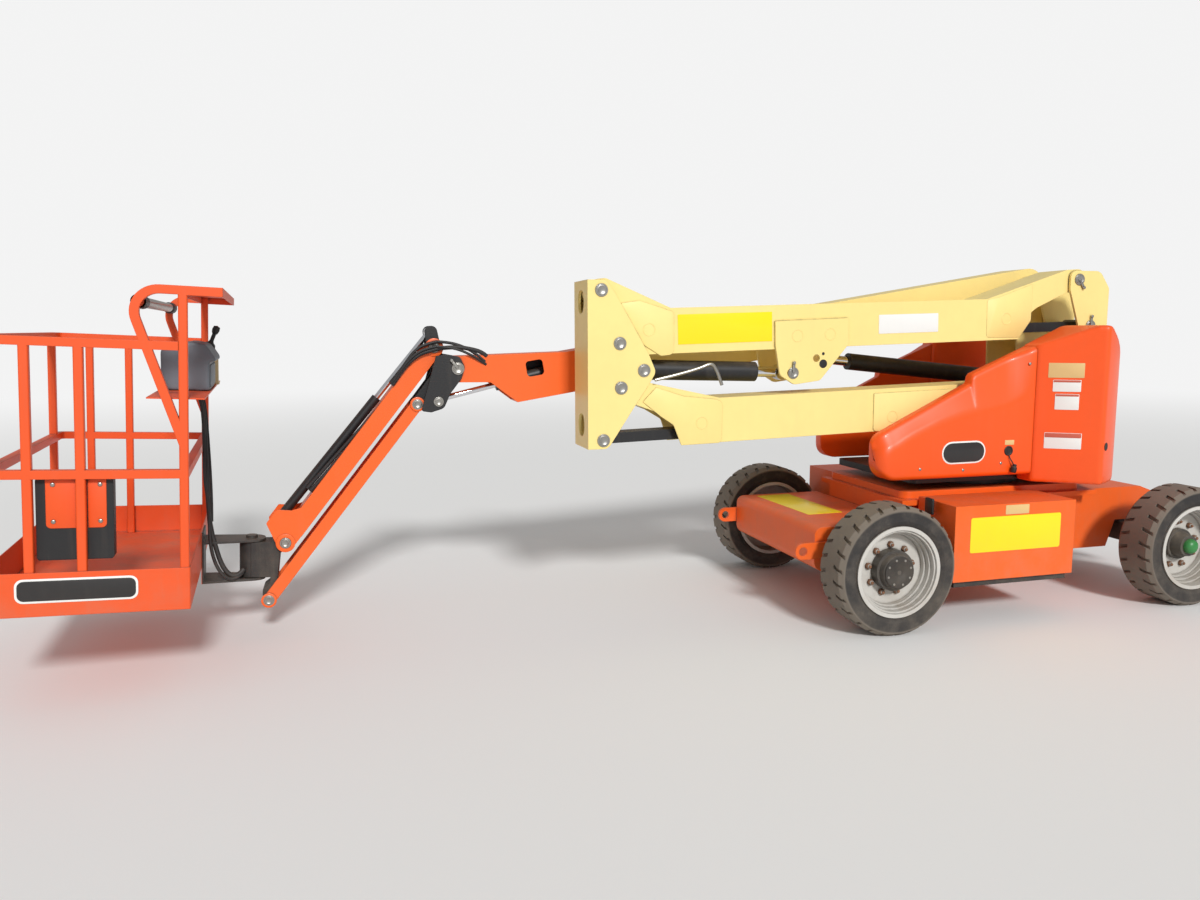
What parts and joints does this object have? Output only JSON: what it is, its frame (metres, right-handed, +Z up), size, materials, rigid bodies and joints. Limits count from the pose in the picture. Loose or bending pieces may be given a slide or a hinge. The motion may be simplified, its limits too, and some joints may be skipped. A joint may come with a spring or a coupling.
{
  "type": "articulating boom lift",
  "caption": "Electric articulating boom lift: swinging turntable, twin-arm tower, telescoping boom, jib and railed work platform on a steered four-wheel chassis.",
  "frame": {"origin": "on the ground under the turntable's swing axis, midway between the axles", "axes": "+X towards the steered axle, the booms lie over -X; +Y towards the side of the main boom; +Z up"},
  "size_m": [6.8782, 1.75, 2.0247],
  "materials": {
    "hood_orange": "gloss paint",
    "chassis_orange": "gloss paint",
    "boom_orange": "gloss paint",
    "cream": "gloss paint",
    "black_paint": "satin paint",
    "chrome_rod": "polished",
    "rim_grey": "satin paint",
    "tyre": "dusty rubber",
    "plastic_black": "matt",
    "plastic_grey": "matt",
    "battery": "matt"
  },
  "bodies": {
    "chassis": {"chassis_frame": "chassis_orange", "drive_box": "chassis_orange", "front_lugs": "chassis_orange", "near_side_box": "chassis_orange", "far_side_box": "chassis_orange", "battery_packs": "battery", "rear_axle": "black_paint", "front_axle": "black_paint", "slew_ring": "black_paint"},
    "near_knuckle": {"near_knuckle": "black_paint"},
    "far_knuckle": {"far_knuckle": "black_paint"},
    "rear_near_wheel": {"rear_near_tyre": "tyre", "rear_near_rim": "rim_grey", "rear_near_hub": "black_paint"},
    "rear_far_wheel": {"rear_far_tyre": "tyre", "rear_far_rim": "rim_grey", "rear_far_hub": "black_paint"},
    "front_near_wheel": {"front_near_tyre": "tyre", "front_near_rim": "rim_grey", "front_near_hub": "black_paint"},
    "front_far_wheel": {"front_far_tyre": "tyre", "front_far_rim": "rim_grey", "front_far_hub": "black_paint"},
    "turntable": {"turntable_frame": "chassis_orange", "counterweight": "hood_orange", "near_hood": "hood_orange", "far_hood": "hood_orange"},
    "lower_arm": {"lower_arm": "cream"},
    "lower_link": {"lower_link": "black_paint"},
    "mid_upright": {"mid_upright": "cream"},
    "upper_arm": {"upper_arm": "cream"},
    "upper_link": {"upper_link": "black_paint"},
    "upper_upright": {"upper_upright": "cream"},
    "tower_barrel": {"tower_barrel": "black_paint"},
    "tower_rod": {"tower_rod": "chrome_rod"},
    "main_boom": {"main_boom": "cream"},
    "lift_barrel": {"lift_barrel": "black_paint"},
    "lift_rod": {"lift_rod": "chrome_rod"},
    "fly_boom": {"fly_boom": "boom_orange"},
    "level_barrel": {"level_barrel": "black_paint"},
    "level_rod": {"level_rod": "chrome_rod"},
    "boom_head": {"boom_head": "black_paint"},
    "jib_arm": {"jib_arm": "boom_orange", "jib_barrel": "black_paint"},
    "jib_rod": {"jib_rod": "chrome_rod"},
    "jib_link": {"jib_link": "boom_orange"},
    "platform_support": {"platform_support": "black_paint"},
    "platform": {"platform_base": "boom_orange", "platform_rails": "boom_orange", "control_console": "plastic_grey", "document_box": "plastic_black"}
  },
  "joints": [
    {"name": "turntable_swing", "type": "hinge", "parent": "chassis", "child": "turntable", "pos_m": [0, 0, 0.72], "axis": [0, 0, 1], "range_deg": [-177.5, 177.5]},
    {"name": "tower_lift", "type": "hinge", "parent": "turntable", "child": "lower_arm", "pos_m": [0.583, -0.26, 1.425], "axis": [0, 1, 0], "range_deg": [0, 68]},
    {"name": "lower_link_swing", "type": "hinge", "parent": "turntable", "child": "lower_link", "pos_m": [0.485, -0.26, 1.149], "axis": [0, 1, 0], "range_deg": [0, 68]},
    {"name": "mid_upright_level", "type": "hinge", "parent": "lower_arm", "child": "mid_upright", "pos_m": [-2.40573, -0.26, 1.33786], "axis": [0, 1, 0], "range_deg": [-68, 0]},
    {"name": "upper_arm_lift", "type": "hinge", "parent": "mid_upright", "child": "upper_arm", "pos_m": [-2.51273, -0.26, 1.84686], "axis": [0, 1, 0], "range_deg": [-68, 0]},
    {"name": "upper_link_swing", "type": "hinge", "parent": "mid_upright", "child": "upper_link", "pos_m": [-2.41273, -0.26, 1.57086], "axis": [0, 1, 0], "range_deg": [-68, 0]},
    {"name": "upper_upright_level", "type": "hinge", "parent": "upper_arm", "child": "upper_upright", "pos_m": [0.476, -0.26, 1.934], "axis": [0, 1, 0], "range_deg": [0, 68]},
    {"name": "tower_barrel_swing", "type": "hinge", "parent": "mid_upright", "child": "tower_barrel", "pos_m": [-2.27973, -0.26, 1.42786], "axis": [0, 1, 0], "range_deg": [-67.28, 0]},
    {"name": "tower_rod_slide", "type": "slide", "parent": "tower_barrel", "child": "tower_rod", "axis": [0.9995, 0, -0.0306], "range_m": [0, 0.54104]},
    {"name": "main_lift", "type": "hinge", "parent": "upper_upright", "child": "main_boom", "pos_m": [0.45, 0.14, 1.88], "axis": [0, 1, 0], "range_deg": [0, 82]},
    {"name": "lift_barrel_swing", "type": "hinge", "parent": "upper_upright", "child": "lift_barrel", "pos_m": [0.45, 0.14, 1.313], "axis": [0, 1, 0], "range_deg": [0, 66.65]},
    {"name": "lift_rod_slide", "type": "slide", "parent": "lift_barrel", "child": "lift_rod", "axis": [-0.9944, 0, 0.1059], "range_m": [0, 0.58829]},
    {"name": "telescope", "type": "slide", "parent": "main_boom", "child": "fly_boom", "axis": [-0.9874, 0, -0.1582], "range_m": [0, 1.75]},
    {"name": "level_barrel_swing", "type": "hinge", "parent": "fly_boom", "child": "level_barrel", "pos_m": [-2.60021, 0.14, 1.42992], "axis": [0, 1, 0], "range_deg": [-2.81, 0]},
    {"name": "level_rod_slide", "type": "slide", "parent": "level_barrel", "child": "level_rod", "axis": [-0.9725, 0, -0.233], "range_m": [-0.27556, 0]},
    {"name": "head_level", "type": "hinge", "parent": "fly_boom", "child": "boom_head", "pos_m": [-3.21175, 0.14, 1.43527], "axis": [0, 1, 0], "range_deg": [-82, 0]},
    {"name": "jib_lift", "type": "hinge", "parent": "boom_head", "child": "jib_arm", "pos_m": [-3.33375, 0.14, 1.55027], "axis": [0, 1, 0], "range_deg": [-5, 122]},
    {"name": "jib_link_swing", "type": "hinge", "parent": "boom_head", "child": "jib_link", "pos_m": [-3.43175, 0.14, 1.24227], "axis": [0, 1, 0], "range_deg": [-5, 122]},
    {"name": "support_level", "type": "hinge", "parent": "jib_arm", "child": "platform_support", "pos_m": [-4.14757, 0.14, 0.51608], "axis": [0, 1, 0], "range_deg": [-122, 5]},
    {"name": "jib_rod_slide", "type": "slide", "parent": "jib_arm", "child": "jib_rod", "axis": [0.6378, 0, 0.7702], "range_m": [-0.13988, 0.00573]},
    {"name": "platform_rotate", "type": "hinge", "parent": "platform_support", "child": "platform", "pos_m": [-4.33337, 0.14, 0.33308], "axis": [0.0488, 0, 0.9988], "range_deg": [-94.3, 85.7]},
    {"name": "near_steer", "type": "hinge", "parent": "chassis", "child": "near_knuckle", "pos_m": [1, -0.62, 0.354], "axis": [0, 0, 1], "range_deg": [-40, 40]},
    {"name": "far_steer", "type": "hinge", "parent": "chassis", "child": "far_knuckle", "pos_m": [1, 0.62, 0.354], "axis": [0, 0, 1], "range_deg": [-40, 40]},
    {"name": "rear_near_spin", "type": "hinge", "parent": "chassis", "child": "rear_near_wheel", "pos_m": [-1, -0.755, 0.354], "axis": [0, 1, 0], "continuous": true},
    {"name": "rear_far_spin", "type": "hinge", "parent": "chassis", "child": "rear_far_wheel", "pos_m": [-1, 0.755, 0.354], "axis": [0, 1, 0], "continuous": true},
    {"name": "front_near_spin", "type": "hinge", "parent": "near_knuckle", "child": "front_near_wheel", "pos_m": [1, -0.755, 0.354], "axis": [0, 1, 0], "continuous": true},
    {"name": "front_far_spin", "type": "hinge", "parent": "far_knuckle", "child": "front_far_wheel", "pos_m": [1, 0.755, 0.354], "axis": [0, 1, 0], "continuous": true}
  ],
  "couplings": [
    {"joint": "lower_link_swing", "follows": "tower_lift", "ratio": 1},
    {"joint": "mid_upright_level", "follows": "tower_lift", "ratio": -1},
    {"joint": "upper_arm_lift", "follows": "tower_lift", "ratio": -1},
    {"joint": "upper_link_swing", "follows": "tower_lift", "ratio": -1},
    {"joint": "upper_upright_level", "follows": "tower_lift", "ratio": 1},
    {"joint": "tower_barrel_swing", "follows": "tower_lift", "ratio": -0.98211},
    {"joint": "tower_rod_slide", "follows": "tower_lift", "m_per_rad": 0.45136},
    {"joint": "lift_barrel_swing", "follows": "main_lift", "ratio": 0.80674},
    {"joint": "lift_rod_slide", "follows": "main_lift", "m_per_rad": 0.40699},
    {"joint": "level_barrel_swing", "follows": "main_lift", "ratio": -0.028214},
    {"joint": "level_rod_slide", "follows": "main_lift", "m_per_rad": -0.19064},
    {"joint": "head_level", "follows": "main_lift", "ratio": -1},
    {"joint": "jib_link_swing", "follows": "jib_lift", "ratio": 1},
    {"joint": "support_level", "follows": "jib_lift", "ratio": -1},
    {"joint": "jib_rod_slide", "follows": "jib_lift", "m_per_rad": -0.064404},
    {"joint": "far_steer", "follows": "near_steer", "ratio": 1}
  ]
}
